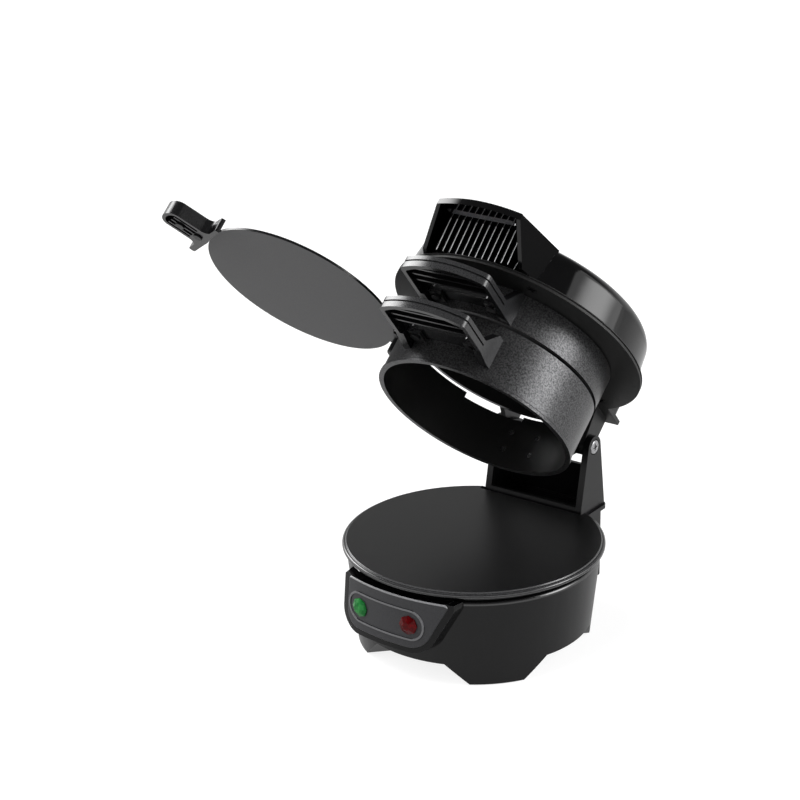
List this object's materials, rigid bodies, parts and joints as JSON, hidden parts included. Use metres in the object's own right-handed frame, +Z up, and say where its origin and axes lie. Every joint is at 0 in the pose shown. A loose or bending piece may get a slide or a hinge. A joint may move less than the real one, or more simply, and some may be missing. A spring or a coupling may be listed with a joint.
{
  "type": "breakfast sandwich maker",
  "caption": "Round tabletop sandwich cooker: heated base, hinged cooking rings, swing-out egg plate and vented gloss lid on a rear post.",
  "frame": {"origin": "on the counter surface, under the middle of the whole machine as it stands open with its egg plate swung out", "axes": "+Z up, -Y out of the front where the indicator lights and ring handles are, +X to the right seen from the front; the egg plate swings out to -X"},
  "size_m": [0.256, 0.1948, 0.2574],
  "materials": {
    "housing_plastic": "satin black moulded plastic",
    "dark_plastic": "matte dark grey moulded plastic",
    "handle_plastic": "fine matte dark grey plastic grip",
    "cover_gloss": "high-gloss black plastic",
    "panel_plastic": "satin dark grey plastic",
    "nonstick": "cast aluminium with a black non-stick coating",
    "ring_coat": "aluminium with a dark metallic speckled non-stick coating",
    "egg_coat": "aluminium sheet with a grey non-stick coating",
    "black_metal": "black painted sheet steel",
    "steel": "bright zinc-plated steel",
    "heater_steel": "dull stainless heater tube",
    "brass": "bare brass",
    "ceramic": "cream insulating body",
    "board": "green printed circuit board",
    "green_lens": "faceted translucent green plastic",
    "red_lens": "faceted translucent dark red plastic",
    "lamp_glass": "clear glass neon tube",
    "rubber": "matte black rubber"
  },
  "bodies": {
    "base": {"base_housing": "housing_plastic", "bottom_cover": "dark_plastic", "base_screws": "steel", "foot_pads": "rubber", "trim_collar": "black_metal", "lower_cooking_plate": "nonstick", "lower_heating_element": "heater_steel", "lower_thermostat": "ceramic", "thermal_fuse": "brass", "terminal_block": "ceramic", "control_panel": "panel_plastic", "panel_frame": "housing_plastic", "green_lens": "green_lens", "red_lens": "red_lens", "lamp_board": "board", "neon_lamps": "lamp_glass", "cord_gland": "rubber", "hinge_post": "dark_plastic", "post_rear_cover": "dark_plastic", "hinge_screws": "steel", "hinge_nuts": "steel"},
    "lower_ring": {"lower_ring": "ring_coat", "lower_ring_strap": "black_metal", "lower_strap_rivets": "steel", "lower_ring_handle": "handle_plastic", "lower_grip_screws": "steel"},
    "upper_ring": {"upper_ring": "ring_coat", "upper_ring_strap": "black_metal", "upper_strap_rivets": "steel", "upper_ring_handle": "handle_plastic", "upper_grip_screws": "steel", "pivot_pin": "steel", "pivot_cap": "steel"},
    "egg_plate": {"egg_plate": "egg_coat", "egg_plate_handle": "handle_plastic", "handle_rivets": "steel"},
    "cover": {"cover_shell": "cover_gloss", "cover_liner": "dark_plastic", "cover_tongue": "dark_plastic", "vent_grille": "dark_plastic", "upper_cooking_plate": "nonstick", "upper_heating_element": "heater_steel", "upper_thermostat": "ceramic", "cover_screws": "steel"}
  },
  "joints": [
    {"name": "lower_ring_hinge", "type": "hinge", "parent": "base", "child": "lower_ring", "pos_m": [0.052, 0.05785, 0.096], "axis": [-1, 0, 0], "range_deg": [-50, 0]},
    {"name": "upper_ring_hinge", "type": "hinge", "parent": "lower_ring", "child": "upper_ring", "pos_m": [0.052, 0.05785, 0.096], "axis": [-1, 0, 0], "range_deg": [0, 35]},
    {"name": "cover_hinge", "type": "hinge", "parent": "upper_ring", "child": "cover", "pos_m": [0.052, 0.05785, 0.096], "axis": [-1, 0, 0], "range_deg": [0, 35]},
    {"name": "egg_plate_pivot", "type": "hinge", "parent": "upper_ring", "child": "egg_plate", "pos_m": [-0.01284, 0.005, 0.1574], "axis": [0, 0.766, 0.6428], "range_deg": [0, 150]}
  ]
}
